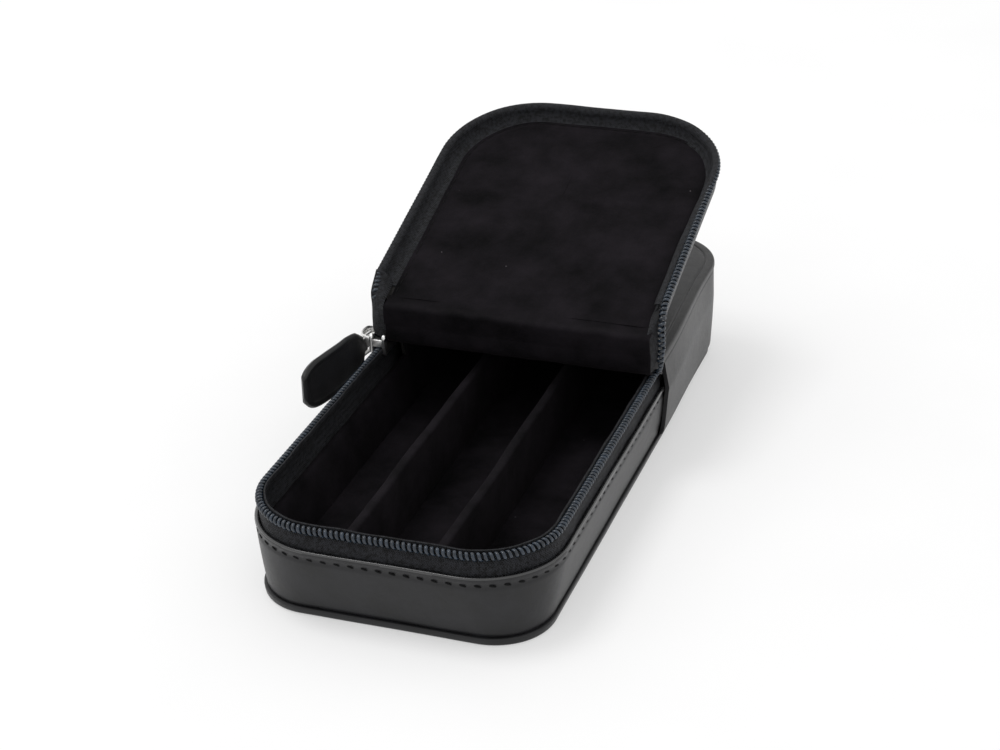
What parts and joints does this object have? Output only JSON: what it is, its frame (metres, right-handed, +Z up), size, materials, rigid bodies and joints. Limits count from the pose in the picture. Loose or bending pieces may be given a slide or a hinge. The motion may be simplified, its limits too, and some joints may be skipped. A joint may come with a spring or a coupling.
{
  "type": "fountain pen case",
  "caption": "Long rounded leather case with a velvet-lined tray of parallel channels, a fixed rear top, and a zipped front lid folded back open.",
  "frame": {"origin": "middle of the underside of the base", "axes": "+Z up, +Y along the length from the open front to the fixed rear half, +X to the right as seen from the front"},
  "size_m": [0.0903, 0.1825, 0.0678],
  "materials": {
    "leather": "black smooth-grain leather, semi-gloss",
    "velvet": "black short-pile velvet",
    "board": "black card stiffener, hidden",
    "zip_tape": "black woven zip tape",
    "zip_coil": "dark blue-grey moulded nylon coil",
    "nickel": "polished nickel plating"
  },
  "bodies": {
    "case": {"base_leather": "leather", "base_board": "board", "floor_lining": "velvet", "front_wall_leather": "leather", "front_wall_board": "board", "front_wall_lining": "velvet", "rear_sleeve_leather": "leather", "rear_wall_board": "board", "rear_wall_lining": "velvet", "rear_top_leather": "leather", "rear_top_board": "board", "rear_top_lining": "velvet", "divider_left_core": "board", "divider_left_velvet": "velvet", "divider_right_core": "board", "divider_right_velvet": "velvet", "tray_zip_tape": "zip_tape", "tray_zip_coil": "zip_coil", "zip_stop_left": "nickel", "zip_stop_right": "nickel"},
    "spine": {"spine_leather": "leather", "spine_lining": "velvet"},
    "lid": {"lid_leather": "leather", "lid_board": "board", "lid_lining": "velvet", "lid_zip_tape": "zip_tape", "lid_zip_coil": "zip_coil"},
    "slider": {"slider_body": "nickel", "slider_bridge": "nickel"},
    "pull": {"pull_link": "nickel", "pull_tab_leather": "leather"}
  },
  "joints": [
    {"name": "spine_fold", "type": "hinge", "parent": "case", "child": "spine", "pos_m": [0, 0.0059, 0.0302], "axis": [1, 0, 0], "range_deg": [-8, 66.03]},
    {"name": "lid_fold", "type": "hinge", "parent": "spine", "child": "lid", "pos_m": [0, 0.00489, 0.03591], "axis": [1, 0, 0], "range_deg": [-11.8, 97.47], "deforming": ["lid_zip_tape", "lid_zip_coil"]},
    {"name": "slider_travel", "type": "slide", "parent": "case", "child": "slider", "axis": [0, -1, 0], "range_m": [0, 0.064]},
    {"name": "pull_swing", "type": "hinge", "parent": "slider", "child": "pull", "pos_m": [-0.0418, 0.0077, 0.0246], "axis": [0, 0, 1], "range_deg": [-150, 8]}
  ]
}
